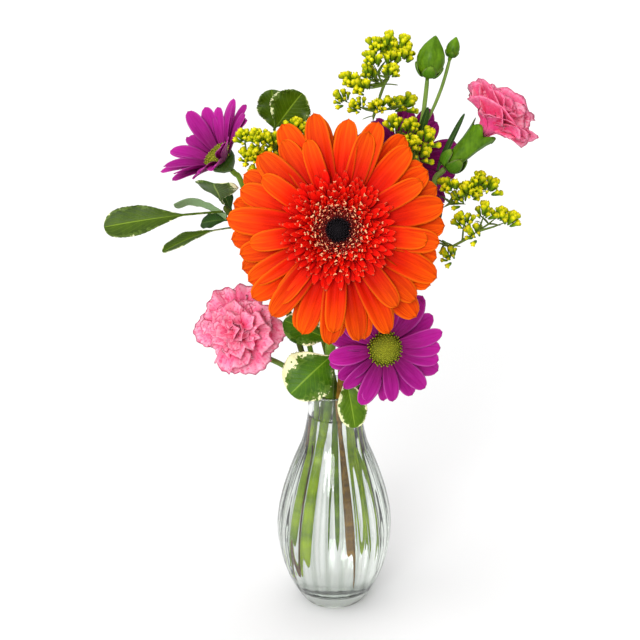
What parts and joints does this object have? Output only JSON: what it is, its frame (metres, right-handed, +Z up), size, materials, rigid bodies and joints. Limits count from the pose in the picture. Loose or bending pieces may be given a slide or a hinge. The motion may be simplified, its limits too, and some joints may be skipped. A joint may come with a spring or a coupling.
{
  "type": "mixed bouquet with a gerbera in a glass bud vase",
  "caption": "Small ribbed glass bud vase of water holding an orange gerbera with pink carnations, magenta daisies, goldenrod and variegated leaves.",
  "frame": {"origin": "middle of the vase's foot, on the surface it stands on", "axes": "+Z up; the gerbera faces -Y; +X to the right as the gerbera is looked at"},
  "size_m": [0.2078, 0.0976, 0.2952],
  "materials": {
    "clear_glass": "polished",
    "water": "polished",
    "woody_bark": "matte",
    "green_bract": "satin",
    "orange_petal": "satin",
    "red_floret": "satin",
    "dark_eye": "matte",
    "green_calyx": "satin",
    "pink_petal": "satin",
    "magenta_petal": "satin",
    "olive_disc": "matte",
    "yellow_cluster": "matte",
    "variegated_leaf": "satin",
    "green_leaf": "satin",
    "green_stem": "satin"
  },
  "bodies": {
    "root": {"carnation_bud_large": "green_calyx", "carnation_bud_leaf": "green_leaf", "carnation_bud_side_stem": "green_stem", "carnation_bud_small": "green_calyx", "carnation_bud_stem": "green_stem", "carnation_leaf_behind": "green_leaf", "carnation_leaf_low": "green_leaf", "carnation_leaf_upper": "green_leaf", "carnation_left_calyx": "green_calyx", "carnation_left_petals": "pink_petal", "carnation_left_stem": "green_stem", "carnation_right_calyx": "green_calyx", "carnation_right_petals": "pink_petal", "carnation_right_stem": "green_stem", "daisy_back_bracts": "green_bract", "daisy_back_disc": "olive_disc", "daisy_back_rays": "magenta_petal", "daisy_back_stem": "green_stem", "daisy_left_bracts": "green_bract", "daisy_left_disc": "olive_disc", "daisy_left_rays": "magenta_petal", "daisy_left_stem": "green_stem", "daisy_low_bracts": "green_bract", "daisy_low_disc": "olive_disc", "daisy_low_rays": "magenta_petal", "daisy_low_stem": "green_stem", "gerbera_back_rays": "orange_petal", "gerbera_bracts": "green_bract", "gerbera_eye": "dark_eye", "gerbera_front_rays": "orange_petal", "gerbera_inner_florets": "red_floret", "gerbera_stem": "green_stem", "goldenrod_right_stem": "green_stem", "goldenrod_spray_left": "yellow_cluster", "goldenrod_spray_middle": "yellow_cluster", "goldenrod_spray_right_lower": "yellow_cluster", "goldenrod_spray_right_upper": "yellow_cluster", "goldenrod_spray_top": "yellow_cluster", "goldenrod_top_stem": "green_stem", "pittosporum_leaf_dark": "variegated_leaf", "pittosporum_leaf_edge": "variegated_leaf", "pittosporum_leaf_folded": "variegated_leaf", "pittosporum_leaf_long": "variegated_leaf", "pittosporum_leaf_low_big": "variegated_leaf", "pittosporum_leaf_low_curled": "variegated_leaf", "pittosporum_leaf_low_small": "variegated_leaf", "pittosporum_leaf_pale": "variegated_leaf", "pittosporum_leaf_rim": "variegated_leaf", "pittosporum_leaf_small": "variegated_leaf", "pittosporum_leaf_top_dark": "variegated_leaf", "pittosporum_leaf_top_light": "variegated_leaf", "twig_left": "woody_bark", "twig_low": "woody_bark", "twig_top": "woody_bark", "vase": "clear_glass", "water": "water"}
  },
  "joints": []
}
